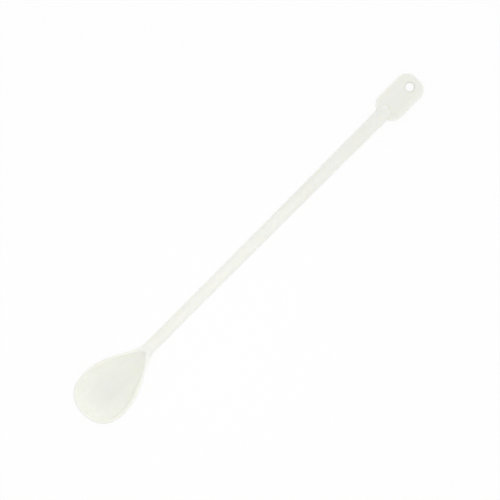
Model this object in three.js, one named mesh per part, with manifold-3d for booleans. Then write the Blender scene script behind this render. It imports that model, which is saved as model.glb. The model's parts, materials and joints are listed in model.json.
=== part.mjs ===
// Plastic mixing spoon: a long round handle with an oval bowl at one end and a flat hanging tab at the other.
// The real spoon is one moulding. Its three sections are separate solids here, which meet face to face.
//
// Lengths are millimetres and +Z is up. The spoon is drawn with the handle's axis on the X axis, the bowl's
// tip at x = 0 and the plane where the two halves of the mould part at z = 0. It is then laid on a table,
// hollow side up, with the origin under the middle of its bounding box.

import * as THREE from 'three';
import { mergeVertices } from 'three/addons/utils/BufferGeometryUtils.js';
import Module from 'manifold-3d';

// Whole spoon, from the tip of the bowl to the far edge of the tab
const OVERALL_LENGTH = 460;

// Bowl, measured from its tip
const BOWL_LENGTH = 92; // to where the neck has become the plain round handle
const BOWL_WIDTH = 55.5;
const BOWL_WIDEST_AT = 30;
const BOWL_DEPTH = 17; // outside, below the parting plane
const BOWL_WALL = 2.6;
const RIM_CROWN = 2.4; // height that the bowl's top would have over its middle if it weren't hollow
const NECK_SOLID = 7; // solid run between the end of the hollow and the plain handle
const NECK_RISE = 32; // run over which the rim climbs to the top of the handle
const HOLLOW_END_WIDTH = 7; // how blunt the hollow's narrow end is, seen from above
const HOLLOW_END_DEPTH = 5; // how steep the wall of that end is

// Curves of the bowl's edge and of its hollow's, as shares of the runs that they join
const TIP_FULLNESS = 0.72;
const BELLY_FULLNESS = 0.6;
const SHOULDER_FULLNESS = 0.45;
const HOLLOW_SHOULDER_FULLNESS = 0.25;
const NECK_FLARE = 0.26;

// Handle
const HANDLE_DIAMETER_AT_BOWL = 12.2;
const HANDLE_DIAMETER_AT_TAB = 14.4;
const SECTION_STUB = 4; // plain round length that the bowl and the tab each keep of the handle

// Hanging tab
const TAB_LENGTH = 50;
const TAB_WIDTH = 29.5;
const TAB_THICKNESS = 4;
const TAB_CORNER_RADIUS = 11.5;
const TAB_EDGE_ROUND = 0.8;
const HANDLE_LAP = 11; // length of the handle's end that lies on the tab
const HANDLE_DOME = 6.5; // length of the rounded end of the handle on the tab
const HOLE_DIAMETER = 8.5;
const HOLE_FROM_END = 10.9; // hole's centre to the tab's far edge

// Finish
const IVORY = 0xf0f0e6;
const SATIN_ROUGHNESS = 0.42;

// Facets
const RING_SIDES = 48;
const TIP_STEPS = 12;
const SHOULDER_STEPS = 14;
const NECK_STEPS = 10;
const NECK_SHARE = 0.8; // share of the shoulder's curve after which the rings stand closer
const HANDLE_STEPS = 10;
const DOME_STEPS = 6;
const CORNER_STEPS = 10;
const BEVEL_STEPS = 2;

const HALF_WIDTH = BOWL_WIDTH / 2;
const BOWL_END_RADIUS = HANDLE_DIAMETER_AT_BOWL / 2;
const TAB_END_RADIUS = HANDLE_DIAMETER_AT_TAB / 2;
const HOLLOW_END = BOWL_LENGTH - NECK_SOLID;
const BOWL_PLANE = BOWL_LENGTH + SECTION_STUB;
const TAB_START = OVERALL_LENGTH - TAB_LENGTH;
const TAB_PLANE = TAB_START - SECTION_STUB;

const wasm = await Module();
wasm.setup();

/** Geometry with shared corners merged and without the triangles that close up to a line or a point. */
function closedSkin(geometry) {
  geometry.deleteAttribute('normal');
  geometry.deleteAttribute('uv');
  const merged = mergeVertices(geometry);
  const corners = merged.index.array;
  const kept = [];
  for (let i = 0; i < corners.length; i += 3) {
    const [a, b, c] = corners.slice(i, i + 3);
    if (a !== b && b !== c && c !== a) {
      kept.push(a, b, c);
    }
  }
  merged.setIndex(kept);
  return merged;
}

/** Solid body inside a closed geometry. */
function toSolid(geometry) {
  const skin = closedSkin(geometry);
  return new wasm.Manifold(new wasm.Mesh({
    numProp: 3,
    vertProperties: skin.attributes.position.array,
    triVerts: new Uint32Array(skin.index.array),
  }));
}

/** Geometry of a solid body's skin. */
function toGeometry(solid) {
  const skin = solid.getMesh();
  const geometry = new THREE.BufferGeometry();
  geometry.setAttribute('position', new THREE.BufferAttribute(new Float32Array(skin.vertProperties), 3));
  geometry.setIndex(new THREE.BufferAttribute(new Uint32Array(skin.triVerts), 1));
  return geometry;
}

/** Skin through a row of rings that run anticlockwise seen from +X, each end closed on its middle. */
function loft(rings) {
  const sides = rings[0].length;
  const points = rings.flat();
  const triangles = [];
  for (let row = 0; row + 1 < rings.length; row += 1) {
    for (let side = 0; side < sides; side += 1) {
      const here = row * sides + side;
      const beside = row * sides + (side + 1) % sides;
      triangles.push(here, beside, here + sides);
      triangles.push(beside, beside + sides, here + sides);
    }
  }
  const lastRow = (rings.length - 1) * sides;
  const firstMiddle = points.push(middleOf(rings[0])) - 1;
  const lastMiddle = points.push(middleOf(rings[rings.length - 1])) - 1;
  for (let side = 0; side < sides; side += 1) {
    const next = (side + 1) % sides;
    triangles.push(firstMiddle, next, side);
    triangles.push(lastMiddle, lastRow + side, lastRow + next);
  }
  const geometry = new THREE.BufferGeometry().setFromPoints(points);
  geometry.setIndex(triangles);
  return geometry;
}

/** Middle of a ring's points. */
function middleOf(ring) {
  const sum = ring.reduce((total, point) => total.add(point), new THREE.Vector3());
  return sum.divideScalar(ring.length);
}

/** Evenly spaced numbers from one value to another, both included. */
function steps(from, to, count) {
  return Array.from({ length: count + 1 }, (_, i) => THREE.MathUtils.lerp(from, to, i / count));
}

/** Share of the climb from the rim to the top of the handle that is done at a station. */
function neckClimb(x) {
  return THREE.MathUtils.smoothstep(x, BOWL_LENGTH - NECK_RISE, BOWL_LENGTH);
}

/** Radius of the plain handle: it swells slowly at first and faster towards the tab. */
function handleRadius(x) {
  const share = THREE.MathUtils.clamp((x - BOWL_PLANE) / (TAB_PLANE - BOWL_PLANE), 0, 1);
  return THREE.MathUtils.lerp(BOWL_END_RADIUS, TAB_END_RADIUS, share ** 2);
}

/** Round cross-section at a station. */
function roundRing(x, radius) {
  return crossSection(x, radius, radius, radius);
}

/** Cross-section at a station: half an ellipse below the parting plane and a lower or equal one above it. */
function crossSection(x, halfWidth, depth, height) {
  return Array.from({ length: RING_SIDES }, (_, i) => {
    const angle = 2 * Math.PI * i / RING_SIDES;
    const rise = Math.sin(angle);
    return new THREE.Vector3(x, halfWidth * Math.cos(angle), rise > 0 ? height * rise : depth * rise);
  });
}

/** Cross-section of the unhollowed bowl: its low crown climbs to the top of the handle along the neck. */
function bowlSection(x, halfWidth, depth) {
  const crown = RIM_CROWN * depth / BOWL_DEPTH;
  return crossSection(x, halfWidth, depth, THREE.MathUtils.lerp(crown, BOWL_END_RADIUS, neckClimb(x)));
}

/** Cross-section of the hollow: half an ellipse down from the rim, with straight sides that run out above. */
function hollowSection(x, halfWidth, depth) {
  const rim = BOWL_END_RADIUS * neckClimb(x);
  const top = BOWL_END_RADIUS + RIM_CROWN;
  const ring = Array.from({ length: RING_SIDES / 2 + 1 }, (_, i) => {
    const angle = Math.PI + 2 * Math.PI * i / RING_SIDES;
    return new THREE.Vector3(x, halfWidth * Math.cos(angle), rim + (rim + depth) * Math.sin(angle));
  });
  ring.push(new THREE.Vector3(x, halfWidth, top), new THREE.Vector3(x, -halfWidth, top));
  return ring;
}

/**
 * Edge of a bowl as two curves, whose points hold the station, the half-width and the depth there: one from
 * the tip to the widest place, and one over the shoulder to the end, by way of the given approach.
 */
function bowlEdge(tipX, halfWidth, depth, shoulderFullness, approach, end) {
  const tip = new THREE.Vector3(tipX, 0, 0);
  const widest = new THREE.Vector3(BOWL_WIDEST_AT, halfWidth, depth);
  const tipPull = new THREE.Vector3(tipX, halfWidth * TIP_FULLNESS, depth * TIP_FULLNESS);
  const bellyX = THREE.MathUtils.lerp(BOWL_WIDEST_AT, tipX, BELLY_FULLNESS);
  const bellyPull = new THREE.Vector3(bellyX, halfWidth, depth);
  const shoulderX = THREE.MathUtils.lerp(BOWL_WIDEST_AT, end.x, shoulderFullness);
  const shoulderPull = new THREE.Vector3(shoulderX, halfWidth, depth);
  return {
    front: new THREE.CubicBezierCurve3(tip, tipPull, bellyPull, widest),
    back: new THREE.CubicBezierCurve3(widest, shoulderPull, approach, end),
  };
}

/** Points along a bowl's edge, closer together at the neck. */
function edgePoints({ front, back }) {
  const tipRun = steps(0, 1, TIP_STEPS).map((t) => front.getPoint(t));
  const shoulderRun = steps(0, NECK_SHARE, SHOULDER_STEPS).slice(1).map((t) => back.getPoint(t));
  const neckRun = steps(NECK_SHARE, 1, NECK_STEPS).slice(1).map((t) => back.getPoint(t));
  return [...tipRun, ...shoulderRun, ...neckRun];
}

/** Bowl: the outer form lofted from tip to handle, with the hollow scooped out of it. */
function makeBowl() {
  const flareX = THREE.MathUtils.lerp(BOWL_LENGTH, BOWL_WIDEST_AT, NECK_FLARE);
  const neckPull = new THREE.Vector3(flareX, BOWL_END_RADIUS, BOWL_END_RADIUS);
  const neckEnd = new THREE.Vector3(BOWL_LENGTH, BOWL_END_RADIUS, BOWL_END_RADIUS);
  const outer = bowlEdge(0, HALF_WIDTH, BOWL_DEPTH, SHOULDER_FULLNESS, neckPull, neckEnd);
  const rings = edgePoints(outer).map(({ x, y, z }) => bowlSection(x, y, z));
  rings.push(roundRing(BOWL_PLANE, BOWL_END_RADIUS));

  const bluntPull = new THREE.Vector3(HOLLOW_END, HOLLOW_END_WIDTH, HOLLOW_END_DEPTH);
  const hollowEnd = new THREE.Vector3(HOLLOW_END, 0, -BOWL_END_RADIUS * neckClimb(HOLLOW_END));
  const innerWidth = HALF_WIDTH - BOWL_WALL;
  const innerDepth = BOWL_DEPTH - BOWL_WALL;
  const inner = bowlEdge(BOWL_WALL, innerWidth, innerDepth, HOLLOW_SHOULDER_FULLNESS, bluntPull, hollowEnd);
  const hollow = loft(edgePoints(inner).map(({ x, y, z }) => hollowSection(x, y, z)));
  return toGeometry(toSolid(loft(rings)).subtract(toSolid(hollow)));
}

/** Handle: the plain round bar between the bowl's stub and the tab's. */
function makeHandle() {
  const stations = steps(BOWL_PLANE, TAB_PLANE, HANDLE_STEPS);
  return closedSkin(loft(stations.map((x) => roundRing(x, handleRadius(x)))));
}

/** Outline of the tab from above, with its hanging hole. */
function tabOutline() {
  const nearX = TAB_START + TAB_CORNER_RADIUS;
  const farX = OVERALL_LENGTH - TAB_CORNER_RADIUS;
  const sideY = TAB_WIDTH / 2 - TAB_CORNER_RADIUS;
  const quarter = Math.PI / 2;
  const outline = new THREE.Shape();
  outline.absarc(farX, sideY, TAB_CORNER_RADIUS, 0, quarter);
  outline.absarc(nearX, sideY, TAB_CORNER_RADIUS, quarter, 2 * quarter);
  outline.absarc(nearX, -sideY, TAB_CORNER_RADIUS, 2 * quarter, 3 * quarter);
  outline.absarc(farX, -sideY, TAB_CORNER_RADIUS, 3 * quarter, 4 * quarter);
  outline.closePath();
  const hole = new THREE.Path();
  hole.absarc(OVERALL_LENGTH - HOLE_FROM_END, 0, HOLE_DIAMETER / 2, 0, 4 * quarter);
  outline.holes.push(hole);
  return outline;
}

/** Hanging tab: the flat plate with softened edges, joined with the domed end of the handle. */
function makeHangTab() {
  const plate = new THREE.ExtrudeGeometry(tabOutline(), {
    depth: TAB_THICKNESS - 2 * TAB_EDGE_ROUND,
    bevelThickness: TAB_EDGE_ROUND,
    bevelSize: TAB_EDGE_ROUND,
    bevelOffset: -TAB_EDGE_ROUND,
    bevelSegments: BEVEL_STEPS,
    curveSegments: CORNER_STEPS,
  });
  plate.translate(0, 0, TAB_EDGE_ROUND - TAB_THICKNESS / 2);

  const domeEnd = TAB_START + HANDLE_LAP;
  const domeRun = steps(0, Math.PI / 2, DOME_STEPS).map((turn) => {
    const x = domeEnd - HANDLE_DOME * (1 - Math.sin(turn));
    return roundRing(x, TAB_END_RADIUS * Math.cos(turn));
  });
  const barEnd = loft([roundRing(TAB_PLANE, TAB_END_RADIUS), ...domeRun]);
  return toGeometry(toSolid(barEnd).add(toSolid(plate)));
}

/** Named section of the spoon in its ivory plastic. */
function section(name, geometry) {
  const plastic = new THREE.MeshStandardMaterial({
    color: IVORY,
    roughness: SATIN_ROUGHNESS,
    metalness: 0,
  });
  const mesh = new THREE.Mesh(geometry, plastic);
  mesh.name = name;
  return mesh;
}

/** Height of a section's lowest corner when the spoon is tipped about Y with its tab end down. */
function lowestCorner(mesh, tilt) {
  const corners = mesh.geometry.attributes.position;
  let lowest = Infinity;
  for (let i = 0; i < corners.count; i += 1) {
    lowest = Math.min(lowest, corners.getZ(i) * Math.cos(tilt) - corners.getX(i) * Math.sin(tilt));
  }
  return lowest;
}

/** Tilt at which the bowl and the end of the handle touch the same table, found by halving a range. */
function restingTilt(bowl, farSections) {
  let level = 0;
  let steep = Math.PI / 8;
  for (let halving = 0; halving < 50; halving += 1) {
    const tilt = (level + steep) / 2;
    const farEnd = Math.min(...farSections.map((mesh) => lowestCorner(mesh, tilt)));
    if (lowestCorner(bowl, tilt) < farEnd) {
      level = tilt;
    } else {
      steep = tilt;
    }
  }
  return level;
}

const bowl = section('bowl', makeBowl());
const handle = section('handle', makeHandle());
const hangTab = section('hang_tab', makeHangTab());

const spoon = new THREE.Group();
spoon.add(bowl, handle, hangTab);
spoon.rotation.y = restingTilt(bowl, [handle, hangTab]);
const reach = new THREE.Box3().setFromObject(spoon, true);
spoon.position.set(-(reach.min.x + reach.max.x) / 2, 0, -reach.min.z);

export default spoon;
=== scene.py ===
"""Dressed model of a long plastic mixing spoon, laid on white paper and seen from straight above.

The real spoon is one moulding, so its bowl, handle and hanging tab are modelled as one unbroken skin. It is
drawn in millimetres, with the handle's axis on the X axis, the bowl's tip at x = 0 and the plane where the
two halves of the mould part at z = 0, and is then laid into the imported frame, in metres.
"""

import json
import logging
import math
from collections.abc import Callable
from dataclasses import dataclass, field
from enum import Enum

import bmesh
import bpy
import numpy as np
from mathutils import Matrix, Vector


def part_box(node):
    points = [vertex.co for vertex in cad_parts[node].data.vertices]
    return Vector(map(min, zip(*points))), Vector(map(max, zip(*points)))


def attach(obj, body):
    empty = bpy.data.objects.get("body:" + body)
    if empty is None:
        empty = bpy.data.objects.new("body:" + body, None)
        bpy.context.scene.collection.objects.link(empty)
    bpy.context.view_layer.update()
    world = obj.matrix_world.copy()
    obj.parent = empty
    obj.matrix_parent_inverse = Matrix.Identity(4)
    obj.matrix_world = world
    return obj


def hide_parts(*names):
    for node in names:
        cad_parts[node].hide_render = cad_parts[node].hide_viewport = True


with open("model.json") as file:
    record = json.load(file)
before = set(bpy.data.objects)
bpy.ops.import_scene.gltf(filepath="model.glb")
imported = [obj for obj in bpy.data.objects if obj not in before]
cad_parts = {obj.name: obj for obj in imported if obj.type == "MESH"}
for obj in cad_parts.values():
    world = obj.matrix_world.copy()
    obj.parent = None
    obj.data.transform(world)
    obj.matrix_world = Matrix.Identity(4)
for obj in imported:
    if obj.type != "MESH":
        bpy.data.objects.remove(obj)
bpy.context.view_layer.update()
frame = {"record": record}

MILLIMETRE = 0.001
RING_SIDES = 64  # points round the handle
RING_STEP = 2 * math.pi / RING_SIDES  # angle between two of them
CURVE_SAMPLES = 1500  # points along each half of a bowl's edge
CLOSE = 0.001  # millimetres within which a point is on a station or a plane
WELD = 0.003  # millimetres within which two points are one
TINY = 1e-6  # keeps a division clear of 0

Spots = Callable[[int], Vector]  # place of each turn round a loop
Piece = bpy.types.Object
Socket = bpy.types.NodeSocket
Tree = bpy.types.NodeTree
log = logging.getLogger("spoon")


class Skin(Enum):
    """Skin of the bowl that a point lies on."""

    CROWN = "top of the rim and of the neck"
    HOLLOW = "inside of the bowl"
    UNDER = "outside of the bowl"


class Half(Enum):
    """Half of the mould that a point of a ring comes from."""

    UPPER = 1
    LOWER = -1


def linear(hex_colour: str) -> tuple[float, float, float, float]:
    """Turns an sRGB hex colour into the linear one that a shader takes.

    Args:
        hex_colour: Colour as "#rrggbb".

    Returns:
        Linear red, green and blue, with an alpha of 1.
    """
    shares = [int(hex_colour[i:i + 2], 16) / 255 for i in (1, 3, 5)]
    red, green, blue = (s / 12.92 if s <= 0.04045 else ((s + 0.055) / 1.055) ** 2.4 for s in shares)
    return red, green, blue, 1.0


def smooth_climb(x: float, start: float, end: float) -> float:
    """Gives the share, from 0 to 1, of a smooth climb between two stations that is done at x."""
    share = min(max((x - start) / (end - start), 0.0), 1.0)
    return share * share * (3 - 2 * share)


def make_active(piece: Piece) -> None:
    """Selects a piece alone and makes it the active one."""
    bpy.ops.object.select_all(action="DESELECT")
    piece.select_set(True)
    bpy.context.view_layer.objects.active = piece


class Bench:
    """A mesh piece on the bench: it selects by place and works with the edit-mode operators."""

    def __init__(self, piece: Piece) -> None:
        """Takes a piece and opens it in edit mode."""
        self.piece = piece
        make_active(piece)
        bpy.ops.object.mode_set(mode="EDIT")

    def mesh(self) -> bmesh.types.BMesh:
        """Gives the mesh as it is in edit mode."""
        return bmesh.from_edit_mesh(self.piece.data)

    def close(self) -> Piece:
        """Leaves edit mode and gives the piece back."""
        bpy.ops.object.mode_set(mode="OBJECT")
        return self.piece

    def pick_points(self, wanted: Callable[[bmesh.types.BMVert], bool]) -> None:
        """Selects only the points that are wanted.

        Args:
            wanted: Says of a point whether it is selected.
        """
        bpy.ops.mesh.select_mode(type="VERT")
        mesh = self.mesh()
        for point in mesh.verts:
            point.select_set(wanted(point))
        mesh.select_flush_mode()
        bmesh.update_edit_mesh(self.piece.data)

    def pick_edges(self, wanted: Callable[[bmesh.types.BMEdge], bool]) -> None:
        """Selects only the edges that are wanted.

        Args:
            wanted: Says of an edge whether it is selected.
        """
        bpy.ops.mesh.select_mode(type="EDGE")
        bpy.ops.mesh.select_all(action="DESELECT")
        mesh = self.mesh()
        for edge in mesh.edges:
            if wanted(edge):
                edge.select_set(True)
        mesh.select_flush_mode()
        bmesh.update_edit_mesh(self.piece.data)

    def number_points(self) -> None:
        """Numbers the selected points in their order, as their turn round the loop."""
        mesh = self.mesh()
        turn = mesh.verts.layers.int.get("turn") or mesh.verts.layers.int.new("turn")
        for number, point in enumerate(p for p in mesh.verts if p.select):
            point[turn] = number
        bmesh.update_edit_mesh(self.piece.data)

    def place(self, spot: Spots) -> None:
        """Moves each selected point to the spot for its turn round the loop.

        Args:
            spot: Gives the place for a turn.
        """
        mesh = self.mesh()
        turn = mesh.verts.layers.int["turn"]
        for point in mesh.verts:
            if point.select:
                point.co = spot(point[turn])
        bmesh.update_edit_mesh(self.piece.data)

    def extrude(self, along: float = 0.0, up: float = 0.0) -> None:
        """Extrudes the selection along X and up Z."""
        bpy.ops.mesh.extrude_region_move(TRANSFORM_OT_translate={"value": (along, 0, up)})

    def resize(self, factors: tuple[float, float, float], centre: tuple[float, float, float]) -> None:
        """Scales the selection about a centre."""
        bpy.ops.transform.resize(value=factors, center_override=centre)

    def bevel(self, offset: float, segments: int) -> None:
        """Rounds the selected edges."""
        bpy.ops.mesh.bevel(offset=offset, segments=segments, affect="EDGES", clamp_overlap=False)

    def weld(self) -> None:
        """Merges points that lie on each other and turns all faces outwards."""
        bpy.ops.mesh.select_all(action="SELECT")
        bpy.ops.mesh.remove_doubles(threshold=WELD)
        bpy.ops.mesh.normals_make_consistent(inside=False)


def apply_boolean(piece: Piece, tool: Piece, operation: str) -> None:
    """Joins a tool body to a piece or cuts it out of it, and removes the tool.

    Args:
        piece: Piece that stays.
        tool: Body that is joined or cut out.
        operation: "UNION" or "DIFFERENCE".
    """
    make_active(piece)
    cut = piece.modifiers.new("boolean", "BOOLEAN")
    cut.operation = operation
    cut.solver = "MANIFOLD"
    cut.object = tool
    bpy.ops.object.modifier_apply(modifier=cut.name)
    bpy.data.objects.remove(tool)


@dataclass
class Rail:
    """Edge of a bowl: half-width and depth at each station, from two curves that meet at the widest place.

    Attributes:
        front: Four control points from the tip to the widest place, each (station, half-width, depth).
        back: Four control points from the widest place to the end.
    """

    front: list[tuple[float, float, float]]
    back: list[tuple[float, float, float]]
    points: np.ndarray = field(init=False)

    def __post_init__(self) -> None:
        """Samples the two curves closely."""
        share = np.linspace(0, 1, CURVE_SAMPLES)[:, None]
        runs = []
        for a, b, c, d in (np.array(self.front), np.array(self.back)):
            near = a * (1 - share) ** 3 + 3 * b * share * (1 - share) ** 2
            runs.append(near + 3 * c * share ** 2 * (1 - share) + d * share ** 3)
        self.points = np.vstack([runs[0], runs[1][1:]])

    def width(self, x: float) -> float:
        """Gives the half-width at a station."""
        return float(np.interp(x, self.points[:, 0], self.points[:, 1]))

    def depth(self, x: float) -> float:
        """Gives the depth at a station."""
        return float(np.interp(x, self.points[:, 0], self.points[:, 2]))

    def walk(self, start: float, end: float, steps: int, stretch: float = 0.0) -> list[tuple[float, float]]:
        """Steps along the edge, seen from above.

        Args:
            start: Station where the walk starts.
            end: Station where it ends.
            steps: Number of steps.
            stretch: How much the steps lengthen on the way, from 0, even, to 1.

        Returns:
            Station and half-width of each step, both ends included.
        """
        low, high = min(start, end), max(start, end)
        inside = (self.points[:, 0] > low) & (self.points[:, 0] < high)
        ends = np.array([[low, self.width(low)], [high, self.width(high)]])
        path = np.vstack([ends[:1], self.points[inside, :2], ends[1:]])
        if start > end:
            path = path[::-1]
        run = np.concatenate([[0], np.cumsum(np.hypot(*np.diff(path, axis=0).T))])
        share = np.linspace(0, 1, steps + 1)
        marks = run[-1] * ((1 - stretch) * share + stretch * share ** 2)
        return list(zip(np.interp(marks, run, path[:, 0]), np.interp(marks, run, path[:, 1])))


@dataclass
class Bowl:
    """Scooped bowl with its rim, hollow and the neck that runs into the handle. Lengths in millimetres."""

    length: float = 92.0  # from the tip to the plain round handle
    width: float = 55.5
    widest_at: float = 30.0
    depth: float = 16.985  # a hair less than the solid's 17, whose facets cut the curve
    wall: float = 2.6
    rim_crown: float = 2.4
    neck_solid: float = 7.0  # from the hollow's end to the plain handle
    neck_rise: float = 32.0  # length over which the rim climbs
    hollow_end_width: float = 7.0
    hollow_end_depth: float = 5.0
    tip_fullness: float = 0.72
    belly_fullness: float = 0.6
    shoulder_fullness: float = 0.45
    hollow_shoulder_fullness: float = 0.25
    neck_flare: float = 0.26
    handle_radius: float = 6.1  # as the handle's radius_at_bowl
    rim_round: float = 1.9  # rounding of the rim's inner edge
    rim_segments: int = 8
    neck_ring_at: float = 89.0  # station where the loops round the bowl give way to rings round the neck
    hollow_turn_at: float = 82.0  # station on the hollow's edge that faces the corner of the neck ring
    deepest_at: float = 34.0
    loop_points: int = 200
    loop_stretch: float = 0.5  # how much the steps round a loop lengthen from the neck to the tip
    band_steps: int = 2  # steps of the ring from the outline to the first loop above and below it
    hollow_starts: float = 12.0  # degrees down to the hollow's first loop, clear of the rim's rounding
    hollow_loops: int = 22
    under_loops: int = 20

    def __post_init__(self) -> None:
        """Works out the edges of the bowl and of its hollow, and the points that the loops share."""
        end = self.length - self.neck_solid
        half, radius = self.width / 2, self.handle_radius
        flare = self.length + (self.widest_at - self.length) * self.neck_flare
        self.outer = self._rail(0, half, self.depth, self.shoulder_fullness, (flare, radius, radius),
                                (self.length, radius, radius))
        self.inner = self._rail(self.wall, half - self.wall, self.depth - self.wall,
                                self.hollow_shoulder_fullness,
                                (end, self.hollow_end_width, self.hollow_end_depth),
                                (end, 0, -self.rim_lift(end)))
        self.corner = RING_SIDES // 4 - self.band_steps  # turns from the neck's middle to its ring's corner
        outside = self.loop_points // 2 - self.corner
        self.outline = self.outer.walk(self.neck_ring_at, 0, outside, self.loop_stretch)
        self.hollow_edge = (self.inner.walk(end, self.hollow_turn_at, self.corner)[:-1]
                            + self.inner.walk(self.hollow_turn_at, self.wall, outside, self.loop_stretch))

    def _rail(self, tip: float, half: float, depth: float, shoulder: float,
              approach: tuple[float, float, float], end: tuple[float, float, float]) -> Rail:
        """Draws the edge of the bowl or of its hollow.

        Args:
            tip: Station of the edge's tip.
            half: Half-width at the widest place.
            depth: Depth there.
            shoulder: Fullness of the shoulder, as a share of the run from the widest place to the end.
            approach: Control point before the end.
            end: End of the edge.

        Returns:
            Edge as a rail.
        """
        widest = (self.widest_at, half, depth)
        tip_pull = (tip, half * self.tip_fullness, depth * self.tip_fullness)
        belly = self.widest_at + (tip - self.widest_at) * self.belly_fullness
        brow = self.widest_at + (end[0] - self.widest_at) * shoulder
        return Rail([(tip, 0, 0), tip_pull, (belly, half, depth), widest],
                    [widest, (brow, half, depth), approach, end])

    def rim_lift(self, x: float) -> float:
        """Gives how far the hollow's edge has climbed towards the top of the handle at a station."""
        return self.handle_radius * smooth_climb(x, self.length - self.neck_rise, self.length)

    def crown_height(self, x: float) -> float:
        """Gives the height of the unhollowed bowl's top over its middle at a station."""
        risen = smooth_climb(x, self.length - self.neck_rise, self.length)
        crown = self.rim_crown * self.outer.depth(x) / self.depth
        return crown + (self.handle_radius - crown) * risen

    def on_skin(self, skin: Skin, x: float, y: float) -> Vector:
        """Finds the point of a skin over a place in plan.

        Args:
            skin: Skin of the bowl.
            x: Station.
            y: Distance from the middle plane.

        Returns:
            Point on that skin.
        """
        rail = self.inner if skin is Skin.HOLLOW else self.outer
        share = min(abs(y) / max(rail.width(x), TINY), 1.0)
        arch = math.sqrt(1 - share * share)
        if skin is Skin.CROWN:
            return Vector((x, y, self.crown_height(x) * arch))
        if skin is Skin.UNDER:
            return Vector((x, y, -rail.depth(x) * arch))
        lift = self.rim_lift(x)
        return Vector((x, y, lift - (lift + rail.depth(x)) * arch))

    def split_turn(self, turn: int) -> tuple[int, int]:
        """Gives a turn round the loop as its distance from the neck's middle and its side."""
        if turn <= self.loop_points // 2:
            return turn, 1
        return self.loop_points - turn, -1

    def edge_in_plan(self, away: int, steps: int) -> tuple[float, float]:
        """Finds the bowl's edge in plan, which runs straight across the neck between the ring's corners.

        Args:
            away: Turns from the neck's middle.
            steps: Steps of the ring by which the point stands in from the outline.

        Returns:
            Station and distance from the middle plane.
        """
        if away <= self.corner:
            slot = away if away < self.corner else RING_SIDES // 4 - steps
            return self.neck_ring_at, self.outer.width(self.neck_ring_at) * math.sin(slot * RING_STEP)
        place = away - self.corner
        x, y = self.outline[place]
        back = self.outline[place - 1]
        ahead = self.outline[place + 1] if place + 1 < len(self.outline) else (back[0], -back[1])
        along = Vector((ahead[0] - back[0], ahead[1] - back[1])).normalized()
        reach = self.outer.width(max(x, self.widest_at))
        inset = reach * (1 - math.cos(steps * RING_STEP))
        return x - along.y * inset, y + along.x * inset

    def top_loop(self, share: float) -> Spots:
        """Makes a loop on the crown, between the inside of the outline and the hollow's edge.

        Args:
            share: Share of the way to the hollow's edge.

        Returns:
            Place of each turn.
        """
        def spot(turn: int) -> Vector:
            """Gives the place of a turn."""
            away, side = self.split_turn(turn)
            x0, y0 = self.edge_in_plan(away, self.band_steps)
            x1, y1 = self.hollow_edge[away]
            return self.on_skin(Skin.CROWN, x0 + (x1 - x0) * share, side * (y0 + (y1 - y0) * share))
        return spot

    def side_row(self, row: int) -> Spots:
        """Makes a row of the band round the outline, from the crown over the parting line to the outside.

        Args:
            row: Steps of the ring over the parting line, 0 on it and negative below it.

        Returns:
            Place of each turn outside the neck.
        """
        def spot(turn: int) -> Vector:
            """Gives the place of a turn."""
            away, side = self.split_turn(turn)
            x, y = self.edge_in_plan(away, abs(row))
            if row == 0:
                return Vector((x, side * y, 0))
            return self.on_skin(Skin.CROWN if row > 0 else Skin.UNDER, x, side * y)
        return spot

    def _drawn_in(self, x: float, scale: float) -> float:
        """Gives a station drawn in towards the deepest place."""
        return self.deepest_at + (x - self.deepest_at) * scale

    def under_loop(self, scale: float) -> Spots:
        """Makes a loop on the outside of the bowl.

        Args:
            scale: Size of the loop: 1 just under the outline and 0 under the deepest place.

        Returns:
            Place of each turn.
        """
        def spot(turn: int) -> Vector:
            """Gives the place of a turn."""
            away, side = self.split_turn(turn)
            x, y = self.edge_in_plan(away, self.band_steps)
            return self.on_skin(Skin.UNDER, self._drawn_in(x, scale), side * y * scale)
        return spot

    def hollow_loop(self, degrees: float) -> Spots:
        """Makes a loop inside the hollow.

        Args:
            degrees: 0 on the hollow's edge and 90 at its deepest place.

        Returns:
            Place of each turn.
        """
        scale = math.cos(math.radians(degrees))

        def spot(turn: int) -> Vector:
            """Gives the place of a turn."""
            away, side = self.split_turn(turn)
            x, y = self.hollow_edge[away]
            return self.on_skin(Skin.HOLLOW, self._drawn_in(x, scale), side * y * scale)
        return spot

    def build(self) -> Bench:
        """Models the bowl, open at the neck ring.

        Returns:
            Bench with the bowl in edit mode and the neck ring selected.
        """
        bpy.ops.mesh.primitive_circle_add(vertices=self.loop_points, radius=self.width / 2)
        bench = Bench(bpy.context.object)
        bpy.ops.mesh.select_all(action="SELECT")
        bench.number_points()
        bench.place(self.top_loop(0.0))
        bench.extrude()
        bench.place(self.top_loop(1.0))
        for degrees in np.linspace(self.hollow_starts, 90, self.hollow_loops).tolist():
            bench.extrude()
            bench.place(self.hollow_loop(degrees))
        bpy.ops.mesh.merge(type="CENTER")
        self._wrap_side(bench)
        self._close_under(bench)
        self._round_rim(bench)
        bench.pick_edges(lambda edge: edge.is_boundary)
        return bench

    def _wrap_side(self, bench: Bench) -> None:
        """Carries the crown over the outline, all round but at the neck."""
        turn = bench.mesh().verts.layers.int["turn"]
        first, last = self.corner, self.loop_points - self.corner
        bench.pick_edges(lambda edge: edge.is_boundary and all(first <= v[turn] <= last for v in edge.verts))
        for row in range(self.band_steps - 1, -self.band_steps - 1, -1):
            bench.extrude()
            bench.place(self.side_row(row))

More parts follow.
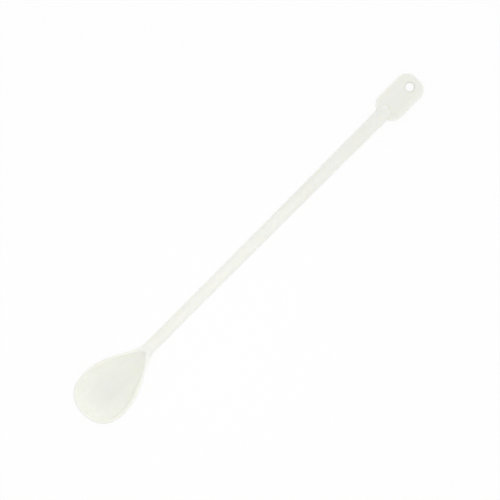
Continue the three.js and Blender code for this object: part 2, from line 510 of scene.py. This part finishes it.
    def _close_under(self, bench: Bench) -> None:
        """Models the outside from its first loop to the deepest place and welds it to the band."""
        bpy.ops.mesh.select_all(action="DESELECT")
        bpy.ops.mesh.primitive_circle_add(vertices=self.loop_points, radius=self.width / 2)
        bench.number_points()
        bench.place(self.under_loop(1.0))
        first = self.band_steps * RING_STEP
        for turn in np.linspace(first, math.pi / 2, self.under_loops)[1:]:
            bench.extrude()
            bench.place(self.under_loop(math.cos(turn) / math.cos(first)))
        bpy.ops.mesh.merge(type="CENTER")
        bench.weld()

    def _round_rim(self, bench: Bench) -> None:
        """Rounds the edge between the rim and the hollow."""
        def key(place: Vector) -> tuple[float, ...]:
            """Rounds a place to a thousandth, so that it can be looked up."""
            return tuple(round(part, 3) for part in place)

        spot = self.top_loop(1.0)
        rim = {key(spot(turn)) for turn in range(self.loop_points)}
        bench.pick_edges(lambda edge: all(key(v.co) in rim for v in edge.verts))
        bench.bevel(self.rim_round, self.rim_segments)


@dataclass
class Handle:
    """Long round handle that swells towards the hanging tab. Lengths in millimetres."""

    radius_at_bowl: float = 6.1
    radius_at_tab: float = 7.2
    start: float = 96.0
    end: float = 406.0
    neck_rings: int = 3  # from the neck ring to the plain handle
    rings: int = 40

    def radius(self, x: float) -> float:
        """Gives the radius at a station: it grows slowly at first and faster towards the tab."""
        share = min(max((x - self.start) / (self.end - self.start), 0.0), 1.0)
        return self.radius_at_bowl + (self.radius_at_tab - self.radius_at_bowl) * share ** 2

    def build(self, bench: Bench, bowl: Bowl) -> None:
        """Draws the neck ring out to the end of the handle.

        Args:
            bench: Bench with the neck ring selected.
            bowl: Bowl that the handle grows out of.
        """
        x = bowl.neck_ring_at
        for ahead in np.linspace(x, bowl.length, self.neck_rings + 1)[1:].tolist():
            self._blend_ring(bench, bowl, x, ahead)
            x = ahead
        for ahead in np.linspace(self.start, self.end, self.rings).tolist():
            bench.extrude(ahead - x)
            swell = self.radius(ahead) / self.radius(x)
            bench.resize((1, swell, swell), (ahead, 0, 0))
            x = ahead

    def _blend_ring(self, bench: Bench, bowl: Bowl, x: float, ahead: float) -> None:
        """Adds a ring of the neck, whose upper and lower halves still differ.

        Args:
            bench: Bench with the last ring selected.
            bowl: Bowl that gives the neck's form.
            x: Station of the last ring.
            ahead: Station of the new one.
        """
        bench.extrude(ahead - x)
        bench.resize((1, bowl.outer.width(ahead) / bowl.outer.width(x), 1), (ahead, 0, 0))
        up = bowl.crown_height(ahead) / bowl.crown_height(x)
        down = bowl.outer.depth(ahead) / bowl.outer.depth(x)
        for half, factor in ((Half.UPPER, up), (Half.LOWER, down)):
            bench.pick_points(lambda v: abs(v.co.x - ahead) < CLOSE and v.co.z * half.value > CLOSE)
            bench.resize((1, 1, factor), (ahead, 0, 0))
        bench.pick_points(lambda v: abs(v.co.x - ahead) < CLOSE)


@dataclass
class HangTab:
    """Flat tab with a hanging hole, and the handle's rounded end that lies in it. Lengths in millimetres."""

    length: float = 50.0
    width: float = 29.5
    thickness: float = 4.0
    corner_radius: float = 11.5
    corner_segments: int = 20
    edge_round: float = 0.8
    edge_segments: int = 5
    lap: float = 11.0  # length of the handle's end that lies in the plate
    dome: float = 6.5  # length of its rounding
    dome_steps: int = 36
    fillet: float = 2.0  # between the handle and the plate
    fillet_starts: float = 0.4  # from the plate's edge
    fillet_step: float = 1.2
    fillet_growth: tuple[float, ...] = (0.0, 0.3, 0.75, 1.0)  # share of the fillet at each step
    fillet_points: int = 4
    fillet_ends: float = 266.0  # degrees round its centre, short of 270 where it lies flat
    fillet_foot: tuple[float, float] = (0.05, 0.07)  # how far its foot is out, and under the plate's face
    hole_diameter: float = 8.5
    hole_from_end: float = 10.9
    hole_sides: int = 64
    hole_round: float = 1.2  # rounding of the hole's mouths
    hole_turns: tuple[float, ...] = (0, 15, 30, 45, 60, 74)  # degrees of the rounding, short of flat
    hole_lip: float = 0.05  # from the plate's face up to where its core is straight
    overall_length: float = 460.0

    @property
    def start(self) -> float:
        """Station of the plate's edge on the handle's side."""
        return self.overall_length - self.length

    @property
    def hole_at(self) -> float:
        """Station of the hanging hole's centre."""
        return self.overall_length - self.hole_from_end

    @property
    def hole_centre(self) -> Vector:
        """Centre of the hanging hole in the drawing, in metres."""
        return Vector((self.hole_at, 0, 0)) * MILLIMETRE

    @property
    def face_middle(self) -> Vector:
        """Middle of the plate's front face between the handle's end and the hole."""
        free_end = self.length - self.hole_from_end - self.hole_diameter / 2
        return Vector((self.start + (self.lap + free_end) / 2, 0, self.thickness / 2))

    def build(self, bench: Bench, handle: Handle) -> Piece:
        """Rounds off the handle's end, makes the plate and joins the two.

        Args:
            bench: Bench with the handle's last ring selected.
            handle: Handle whose end lies in the plate.

        Returns:
            Finished moulding, in object mode.
        """
        self._round_off(bench, handle)
        moulding = bench.close()
        apply_boolean(moulding, self._plate(), "UNION")
        return moulding

    def _foot(self, radius: float) -> list[tuple[float, float]]:
        """Draws the fillet where the handle's round side meets the plate's face.

        Args:
            radius: Radius of the handle.

        Returns:
            Distance from the middle plane and height of the points, from the parting line up to the handle.
        """
        face = self.thickness / 2
        away = math.sqrt((radius + self.fillet) ** 2 - (face + self.fillet) ** 2)
        top = math.degrees(math.atan2(face + self.fillet, away)) + 180
        shares = np.linspace(1, 0, self.fillet_points, endpoint=False).tolist()
        turns = [math.radians(top + (self.fillet_ends - top) * share) for share in shares]
        arc = [(away + self.fillet * math.cos(a), face + self.fillet * (1 + math.sin(a))) for a in turns]
        out, under = self.fillet_foot
        return [(away + out, 0.0), (away + out, face - under), *arc]

    def _round_off(self, bench: Bench, handle: Handle) -> None:
        """Carries the handle into the plate, with a fillet beside it, and closes it with a dome."""
        centre = self.start + self.lap - self.dome
        radius = handle.radius_at_tab
        self._number_rungs(bench)
        begin = self.start + self.fillet_starts
        steps = [(begin + self.fillet_step * i, share) for i, share in enumerate(self.fillet_growth)]
        x = handle.end
        for ahead, share in (*steps, (centre, 1.0)):
            bench.extrude(ahead - x)
            self._shape_foot(bench, radius, share)
            x = ahead
        bench.pick_edges(lambda e: all(abs(v.co.x - centre) < CLOSE and v.co.y > -CLOSE for v in e.verts))
        bpy.ops.mesh.spin(steps=self.dome_steps, angle=math.pi, center=(centre, 0, 0), axis=(0, 0, 1))
        bench.weld()
        bench.pick_points(lambda v: v.co.x > centre + CLOSE)
        bench.resize((self.dome / radius, 1, 1), (centre, 0, 0))

    def _number_rungs(self, bench: Bench) -> None:
        """Numbers the points of the handle's last ring by their steps from the parting line."""
        mesh = bench.mesh()
        rung = mesh.verts.layers.int.new("rung")
        for point in mesh.verts:
            if point.select:
                point[rung] = round(math.atan2(abs(point.co.z), abs(point.co.y)) / RING_STEP)
        bmesh.update_edit_mesh(bench.piece.data)

    def _shape_foot(self, bench: Bench, radius: float, share: float) -> None:
        """Moves the low points of a ring from the round handle towards the fillet.

        Args:
            bench: Bench with the ring selected.
            radius: Radius of the handle.
            share: How far they move: 0 not at all and 1 onto the fillet.
        """
        foot = self._foot(radius)
        mesh = bench.mesh()
        rung = mesh.verts.layers.int["rung"]
        for point in mesh.verts:
            if point.select and point[rung] < len(foot):
                angle = point[rung] * RING_STEP
                y0, z0 = radius * math.cos(angle), radius * math.sin(angle)
                y1, z1 = foot[point[rung]]
                point.co.y = math.copysign(y0 + (y1 - y0) * share, point.co.y)
                point.co.z = math.copysign(z0 + (z1 - z0) * share, point.co.z)
        bmesh.update_edit_mesh(bench.piece.data)

    def _plate(self) -> Piece:
        """Models the plate with its rounded corners, softened edges and hanging hole.

        Returns:
            Plate, in object mode.
        """
        middle = (self.overall_length - self.length / 2, 0, 0)
        bpy.ops.mesh.primitive_cube_add(size=1, location=middle,
                                        scale=(self.length, self.width, self.thickness))
        bpy.ops.object.transform_apply(location=True, rotation=True, scale=True)
        bench = Bench(bpy.context.object)
        bench.pick_edges(lambda e: e.verts[0].co.z * e.verts[1].co.z < 0)
        bench.bevel(self.corner_radius, self.corner_segments)
        bench.pick_edges(lambda e: e.verts[0].co.z * e.verts[1].co.z > 0)
        bench.bevel(self.edge_round, self.edge_segments)
        bpy.ops.mesh.select_all(action="SELECT")
        bpy.ops.mesh.bisect(plane_co=(0, 0, 0), plane_no=(0, 0, 1))
        plate = bench.close()
        apply_boolean(plate, self._hole_core(), "DIFFERENCE")
        return plate

    def _hole_core(self) -> Piece:
        """Models the core that leaves the hanging hole, waisted so that the hole's mouths are rounded.

        Returns:
            Core, in object mode.
        """
        centre = (self.hole_at, 0, 0)
        waist, soft, face = self.hole_diameter / 2, self.hole_round, self.thickness / 2
        start = face - soft
        arc = [math.radians(a) for a in self.hole_turns]
        profile = [(waist + soft * (1 - math.cos(a)), start + soft * math.sin(a)) for a in arc]
        profile += [(waist + soft, face + self.hole_lip), (waist + soft, self.thickness)]
        bpy.ops.mesh.primitive_circle_add(vertices=self.hole_sides, radius=waist, location=centre)
        bpy.ops.object.transform_apply(location=True, rotation=True, scale=True)
        bench = Bench(bpy.context.object)
        for side in (1, -1):
            bench.pick_points(lambda v: abs(v.co.z) < CLOSE)
            reach, height = waist, 0.0
            for wide, high in profile:
                bench.extrude(up=side * (high - height))
                bench.resize((wide / reach, wide / reach, 1), centre)
                reach, height = wide, high
            bpy.ops.mesh.edge_face_add()
        bench.weld()
        return bench.close()


def add_node(tree: Tree, kind: str, inputs: dict | None = None, **settings: object) -> bpy.types.Node:
    """Adds a node with its settings, values and links.

    Args:
        tree: Node tree that it goes into.
        kind: Node type.
        inputs: Value, or socket to link from, for each named or numbered input.
        settings: Properties of the node.

    Returns:
        New node.
    """
    node = tree.nodes.new(kind)
    for name, value in settings.items():
        setattr(node, name, value)
    for name, value in (inputs or {}).items():
        if isinstance(value, Socket):
            tree.links.new(value, node.inputs[name])
        else:
            node.inputs[name].default_value = value
    return node


def empty_tree(owner: bpy.types.Material | bpy.types.World) -> Tree:
    """Gives a material or a world an empty node tree."""
    owner.use_nodes = True
    owner.node_tree.nodes.clear()
    return owner.node_tree


def combine(tree: Tree, operation: str, first: Socket, second: Socket | float = 0.0) -> Socket:
    """Adds a math node for two values and gives its result."""
    return add_node(tree, "ShaderNodeMath", {0: first, 1: second}, operation=operation).outputs[0]


def climb(tree: Tree, value: Socket, span: tuple[float, float], ends: tuple[float, float] = (0.0, 1.0),
          kind: str = "LINEAR") -> Socket:
    """Adds a climb from one end to the other while a value goes over a span, and gives its result.

    Args:
        tree: Node tree.
        value: Value that goes over the span.
        span: Where the climb starts and ends.
        ends: Result at the start and at the end.
        kind: "LINEAR", or "SMOOTHSTEP" for one that starts and ends gently.

    Returns:
        Result.
    """
    inputs = {"Value": value, "From Min": span[0], "From Max": span[1], "To Min": ends[0], "To Max": ends[1]}
    return add_node(tree, "ShaderNodeMapRange", inputs, interpolation_type=kind).outputs[0]


def blend(tree: Tree, share: Socket, first: Socket | tuple, second: Socket | tuple) -> Socket:
    """Adds a blend from a first colour to a second one and gives its result."""
    return add_node(tree, "ShaderNodeMix", {"Factor": share, "A": first, "B": second},
                    data_type="RGBA").outputs["Result"]


@dataclass(frozen=True)
class NaturalPolyethylene:
    """Natural polyethylene, moulded: ivory, waxy and satin. Lengths in metres.

    It has no pigment, so light goes a few millimetres in and softens every edge. The melt leaves pale and
    warm clouds and long streaks along the flow, and the mould leaves a fine even grain, a slight waviness
    where the thick handle shrank, and a thin line where its two halves met. The mouth of the hanging hole
    and, less, the bowl's rim get painted shade, a greyer colour that stands in for the shade there.
    """

    name: str = "natural polyethylene, moulded"
    pale: str = "#f5f6f0"
    warm: str = "#f1f2ea"
    seam: str = "#e6e5d8"
    gloss: tuple[float, float] = (0.36, 0.5)  # roughness in its smoothest and dullest patches
    ior: float = 1.52
    depth: float = 0.003  # how far light goes in
    depth_shares: tuple[float, float, float] = (1.0, 0.95, 0.85)  # of it for red, green and blue
    inner_light: float = 0.6  # share of the light that goes in
    cloud: float = 0.045
    streak: tuple[float, float] = (0.12, 0.004)  # length and width
    tone_span: tuple[float, float] = (0.7, 1.3)  # cloud and streak together, where all pale and all warm
    patch: float = 0.007
    patch_span: tuple[float, float] = (0.3, 0.7)  # noise in the smoothest and dullest patches
    wave: float = 0.014
    wave_height: float = 0.00004
    grain: float = 0.0006  # the real grain is about 0.1 mm, drawn coarser so that it shows
    grain_height: float = 0.00002
    seam_width: float = 0.0005  # the real line is about 0.2 mm, drawn coarser so that it shows
    seam_height: float = 0.00006
    # Painted shade: this grey darkens the mouth of the hanging hole and the bowl's rim, standing in for shade
    # there.
    painted_shade: str = "#ebebe2"
    hole_shade_reach: tuple[float, float] = (0.0072, 0.005)  # from the hole's centre: no painted shade, and full painted shade
    rim_shade_reach: tuple[float, float] = (0.08, 0.055)  # from the bowl's tip: no painted shade, and full painted shade
    rim_shade_band: tuple[float, float] = (-0.0009, 0.0)  # over the parting plane: no painted shade, and full painted shade
    rim_shade_strength: float = 0.45  # strength of the rim's painted shade, against the full painted shade at the hole's mouth

    def material(self, flat: Matrix, hole: Vector) -> bpy.types.Material:
        """Makes the material.

        Args:
            flat: Turns a place in the frame into one of the drawing, whose height is over the parting plane.
            hole: Centre of the hanging hole in the drawing.

        Returns:
            Material with its nodes.
        """
        made = bpy.data.materials.new(self.name)
        tree = empty_tree(made)
        spot = add_node(tree, "ShaderNodeTexCoord").outputs["Object"]
        drawn = add_node(tree, "ShaderNodeMapping", {"Vector": spot, "Location": flat.to_translation(),
                                                     "Rotation": flat.to_euler()}).outputs[0]
        seam = self._seam(tree, drawn)
        shader = add_node(tree, "ShaderNodeBsdfPrincipled", {
            "Base Color": self._paint_shade(tree, drawn, hole, self._tone(tree, spot, seam)),
            "Roughness": self._dullness(tree, spot), "IOR": self.ior,
            "Normal": self._relief(tree, spot, seam), "Subsurface Weight": self.inner_light,
            "Subsurface Radius": self.depth_shares, "Subsurface Scale": self.depth})
        add_node(tree, "ShaderNodeOutputMaterial", {"Surface": shader.outputs["BSDF"]})
        return made

    @staticmethod
    def _noise(tree: Tree, spot: Socket, size: float, detail: float) -> Socket:
        """Adds noise with features of a size, and more fine ones the higher the detail."""
        made = add_node(tree, "ShaderNodeTexNoise", {"Vector": spot, "Scale": 1 / size, "Detail": detail})
        return made.outputs["Fac"]

    def _seam(self, tree: Tree, drawn: Socket) -> Socket:
        """Makes the parting line, 1 where the mould's halves met on the outside and 0 elsewhere.

        Args:
            tree: Node tree.
            drawn: Place in the drawing.

        Returns:
            Strength of the line.
        """
        height = add_node(tree, "ShaderNodeSeparateXYZ", {0: drawn}).outputs["Z"]
        away = combine(tree, "ABSOLUTE", height)
        line = climb(tree, away, (self.seam_width / 2, 0.0), kind="SMOOTHSTEP")
        outside = add_node(tree, "ShaderNodeAttribute", attribute_name="outside").outputs["Fac"]
        return combine(tree, "MULTIPLY", line, outside)

    def _tone(self, tree: Tree, spot: Socket, seam: Socket) -> Socket:
        """Makes the colour: clouds and flow streaks between pale and warm, and a darker parting line.

        Args:
            tree: Node tree.
            spot: Place on the spoon.
            seam: Strength of the parting line.

        Returns:
            Colour.
        """
        long, wide = self.streak
        flow = add_node(tree, "ShaderNodeMapping", {"Vector": spot, "Scale": (1 / long, 1 / wide, 1 / wide)})
        cloud = self._noise(tree, spot, self.cloud, detail=3.0)
        streak = self._noise(tree, flow.outputs[0], size=1.0, detail=2.0)
        share = climb(tree, combine(tree, "ADD", cloud, streak), self.tone_span)
        body = blend(tree, share, linear(self.pale), linear(self.warm))
        return blend(tree, seam, body, linear(self.seam))

    def _paint_shade(self, tree: Tree, drawn: Socket, hole: Vector, body: Socket) -> Socket:
        """Paints shade onto the mouth of the hanging hole and onto the bowl's rim by greying their colour.

        Args:
            tree: Node tree.
            drawn: Place in the drawing.
            hole: Centre of the hole there.
            body: Colour of the plastic without the painted shade.

        Returns:
            Colour.
        """
        away = add_node(tree, "ShaderNodeVectorMath", {0: drawn, 1: hole}, operation="DISTANCE")
        mouth = climb(tree, away.outputs["Value"], self.hole_shade_reach, kind="SMOOTHSTEP")
        place = add_node(tree, "ShaderNodeSeparateXYZ", {0: drawn}).outputs
        front = climb(tree, place["X"], self.rim_shade_reach, (0.0, self.rim_shade_strength), "SMOOTHSTEP")
        rim = combine(tree, "MULTIPLY", front, climb(tree, place["Z"], self.rim_shade_band, kind="SMOOTHSTEP"))
        # Painted shade: blends the grey into the colour at the hole's mouth and on the rim.
        return blend(tree, combine(tree, "MAXIMUM", mouth, rim), body, linear(self.painted_shade))

    def _dullness(self, tree: Tree, spot: Socket) -> Socket:
        """Makes the roughness, in patches.

        Args:
            tree: Node tree.
            spot: Place on the spoon.

        Returns:
            Roughness.
        """
        return climb(tree, self._noise(tree, spot, self.patch, detail=3.0), self.patch_span, self.gloss)

    def _relief(self, tree: Tree, spot: Socket, seam: Socket) -> Socket:
        """Makes the relief: waviness, grain and the parting line.

        Args:
            tree: Node tree.
            spot: Place on the spoon.
            seam: Strength of the parting line.

        Returns:
            Normal.
        """
        wave = self._noise(tree, spot, self.wave, detail=1.0)
        grain = self._noise(tree, spot, self.grain, detail=1.0)
        normal = None
        for height, size in ((wave, self.wave_height), (grain, self.grain_height), (seam, self.seam_height)):
            bump = add_node(tree, "ShaderNodeBump", {"Height": height, "Distance": size, "Strength": 1.0})
            if normal is not None:
                tree.links.new(normal, bump.inputs["Normal"])
            normal = bump.outputs["Normal"]
        return normal


@dataclass
class SpoonMoulding:
    """The whole spoon: bowl, handle and hanging tab in one skin."""

    bowl: Bowl = field(default_factory=Bowl)
    handle: Handle = field(default_factory=Handle)
    tab: HangTab = field(default_factory=HangTab)
    finish: NaturalPolyethylene = field(default_factory=NaturalPolyethylene)
    smooth_below: float = 38.0  # degrees between two faces that are shaded as one
    laid: Matrix = field(init=False)  # where the drawing lies in the frame, in metres

    def build(self) -> Piece:
        """Models the spoon and lays it into the frame.

        Returns:
            Moulding, in metres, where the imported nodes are.
        """
        bench = self.bowl.build()
        self.handle.build(bench, self.bowl)
        moulding = self.tab.build(bench, self.handle)
        moulding.name = moulding.data.name = "spoon_moulding"
        self._lay_down(moulding)
        return moulding

    def _lay_down(self, moulding: Piece) -> None:
        """Tilts the spoon as it rests and brings it to its place, by the tab's face that the record gives."""
        mount = next(m for m in frame["record"]["mounts"] if m["name"] == "tab_front_face")
        tilt = math.atan2(mount["axis"][0], mount["axis"][2])
        turn = Matrix.Rotation(tilt, 4, "Y")
        face = turn @ self.tab.face_middle * MILLIMETRE
        self.laid = Matrix.Translation(Vector(mount["pos_m"]) - face) @ turn
        moulding.matrix_world = self.laid @ Matrix.Scale(MILLIMETRE, 4)
        make_active(moulding)
        bpy.ops.object.transform_apply(location=True, rotation=True, scale=True)

    def _mark_outside(self, moulding: Piece) -> None:
        """Marks the points that the mould's two halves met round, which leaves out the hollow and the hole.

        Args:
            moulding: Spoon as laid down.
        """
        deepest = self.laid @ (Vector((self.bowl.deepest_at, 0, 0)) * MILLIMETRE)
        hole = self.laid @ self.tab.hole_centre
        mouth = (self.tab.hole_diameter / 2 + 2 * self.tab.hole_round) * MILLIMETRE
        marks = moulding.data.attributes.new("outside", "FLOAT", "POINT")
        for point in moulding.data.vertices:
            core = Vector((max(point.co.x, deepest.x), 0))
            facing = (point.co.xy - core).dot(point.normal.xy) > 0
            marks.data[point.index].value = float(facing and (point.co - hole).length > mouth)

    def dress(self, moulding: Piece) -> None:
        """Gives the spoon its finish and hangs it on the frame.

        Args:
            moulding: Spoon as built.
        """
        moulding.data.materials.clear()
        moulding.data.materials.append(self.finish.material(self.laid.inverted(), self.tab.hole_centre))
        self._mark_outside(moulding)
        bpy.ops.object.shade_smooth_by_angle(angle=math.radians(self.smooth_below))
        plate = moulding.vertex_groups.new(name="plate")
        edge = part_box("hang_tab")[0].x
        plate.add([v.index for v in moulding.data.vertices if v.co.x > edge], 1.0, "REPLACE")
        even = moulding.modifiers.new("even_faces", "WEIGHTED_NORMAL")
        even.keep_sharp = True
        even.vertex_group = plate.name
        bpy.ops.object.modifier_apply(modifier=even.name)
        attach(moulding, "root")
        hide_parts("bowl", "handle", "hang_tab")


def seen(tree: Tree) -> Socket:
    """Adds a switch that is 1 for what the camera sees, straight or in a reflection."""
    path = add_node(tree, "ShaderNodeLightPath").outputs
    first = combine(tree, "MAXIMUM", path["Is Camera Ray"], path["Is Glossy Ray"])
    return combine(tree, "MAXIMUM", first, path["Is Transmission Ray"])


@dataclass(frozen=True)
class WhitePaper:
    """White paper, matt: the eye takes it for plain white with a faint shadow on it."""

    name: str = "white paper, matt"
    colour: str = "#ffffff"
    glow: float = 0.9  # share of the white that shadows leave alone

    def material(self) -> bpy.types.Material:
        """Makes the material."""
        made = bpy.data.materials.new(self.name)
        tree = empty_tree(made)
        colour = linear(self.colour)
        matt = add_node(tree, "ShaderNodeBsdfDiffuse", {"Color": colour}).outputs[0]
        white = add_node(tree, "ShaderNodeEmission", {"Color": colour, "Strength": 1.0}).outputs[0]
        share = combine(tree, "MULTIPLY", seen(tree), self.glow)
        mix = add_node(tree, "ShaderNodeMixShader", {0: share, 1: matt, 2: white}).outputs[0]
        add_node(tree, "ShaderNodeOutputMaterial", {"Surface": mix})
        return made


@dataclass(frozen=True)
class Softbox:
    """Round softbox. Lengths in metres, power in watts."""

    name: str
    place: tuple[float, float, float]
    size: float
    power: float


@dataclass
class Studio:
    """White paper, two overhead softboxes and a pale room. Lengths in metres."""

    boxes: tuple[Softbox, ...] = (Softbox("bowl_softbox", (-0.19, -0.03, 0.3), 0.3, 0.1),
                                  Softbox("handle_softbox", (0.06, -0.03, 0.5), 0.4, 0.35))
    paper: WhitePaper = WhitePaper()
    paper_size: float = 8.0
    light: str = "#ffffff"
    wall_level: float = 1.13
    ceiling_level: float = 0.61
    window: float = 0.1  # share by which the room is brighter on the tab's side and dimmer on the bowl's

    def build(self) -> Piece:
        """Lays the paper and sets the lights.

        Returns:
            Paper.
        """
        bpy.ops.mesh.primitive_plane_add(size=self.paper_size, location=(0, 0, 0))
        paper = bpy.context.object
        paper.name = "paper"
        paper.data.materials.append(self.paper.material())
        self._light_room()
        for box in self.boxes:
            self._hang_softbox(box)
        return paper

    def _light_room(self) -> None:
        """Fills the room with white light, from pale walls between a dimmer ceiling and floor."""
        world = bpy.data.worlds.new("room")
        bpy.context.scene.world = world
        tree = empty_tree(world)
        light = linear(self.light)
        way = add_node(tree, "ShaderNodeTexCoord").outputs["Generated"]
        turned = add_node(tree, "ShaderNodeSeparateXYZ", {0: way}).outputs
        slant = combine(tree, "ABSOLUTE", turned["Z"])
        level = climb(tree, slant, (0.0, 1.0), (self.wall_level, self.ceiling_level))
        side = climb(tree, turned["X"], (-1.0, 1.0), (1 - self.window, 1 + self.window))
        both = combine(tree, "MULTIPLY", level, side)
        fill = add_node(tree, "ShaderNodeBackground", {"Color": light, "Strength": both}).outputs[0]
        white = add_node(tree, "ShaderNodeBackground", {"Color": light, "Strength": 1.0}).outputs[0]
        mix = add_node(tree, "ShaderNodeMixShader", {0: seen(tree), 1: fill, 2: white}).outputs[0]
        add_node(tree, "ShaderNodeOutputWorld", {"Surface": mix})

    def _hang_softbox(self, box: Softbox) -> None:
        """Hangs a softbox that shines straight down."""
        lamp = bpy.data.lights.new(box.name, "AREA")
        lamp.shape = "DISK"
        lamp.size = box.size
        lamp.energy = box.power
        hung = bpy.data.objects.new(box.name, lamp)
        bpy.context.scene.collection.objects.link(hung)
        hung.location = box.place


@dataclass
class PhotoCamera:
    """Camera straight above the spoon, turned so that the handle runs to the picture's upper right corner."""

    lens: float = 120.0  # millimetres
    sensor: float = 36.0
    picture_width: float = 0.4857  # metres, at the height of the spoon
    pixels: int = 500  # across the picture
    spoon_height: float = 0.012
    handle_slope: float = 45.07  # degrees from the picture's horizontal
    shift_right: float = 0.9  # pixels from the picture's middle to the spoon's
    shift_up: float = 3.8

    def build(self) -> None:
        """Makes the scene's camera."""
        data = bpy.data.cameras.new("photo_camera")
        data.lens = self.lens
        data.sensor_width = self.sensor
        camera = bpy.data.objects.new("photo_camera", data)
        bpy.context.scene.collection.objects.link(camera)
        turn = math.radians(self.handle_slope)
        right = Vector((math.cos(turn), -math.sin(turn), 0))
        up = Vector((math.sin(turn), math.cos(turn), 0))
        pixel = self.picture_width / self.pixels
        aim = -(right * self.shift_right + up * self.shift_up) * pixel
        distance = self.picture_width * self.lens / self.sensor
        camera.matrix_world = Matrix(((right.x, up.x, 0, aim.x), (right.y, up.y, 0, aim.y),
                                      (0, 0, 1, self.spoon_height + distance), (0, 0, 0, 1)))
        bpy.context.scene.camera = camera


def main() -> None:
    """Builds the camera, the spoon and the studio in order."""
    logging.basicConfig(level=logging.INFO, format="%(name)s: %(message)s")
    bpy.context.scene.view_settings.view_transform = "Standard"
    PhotoCamera().build()
    spoon = SpoonMoulding()
    moulding = spoon.build()
    spoon.dress(moulding)
    log.info("%s: %d faces", moulding.name, len(moulding.data.polygons))
    paper = Studio().build()
    log.info("%s: stage", paper.name)


if __name__ == "__main__":
    main()
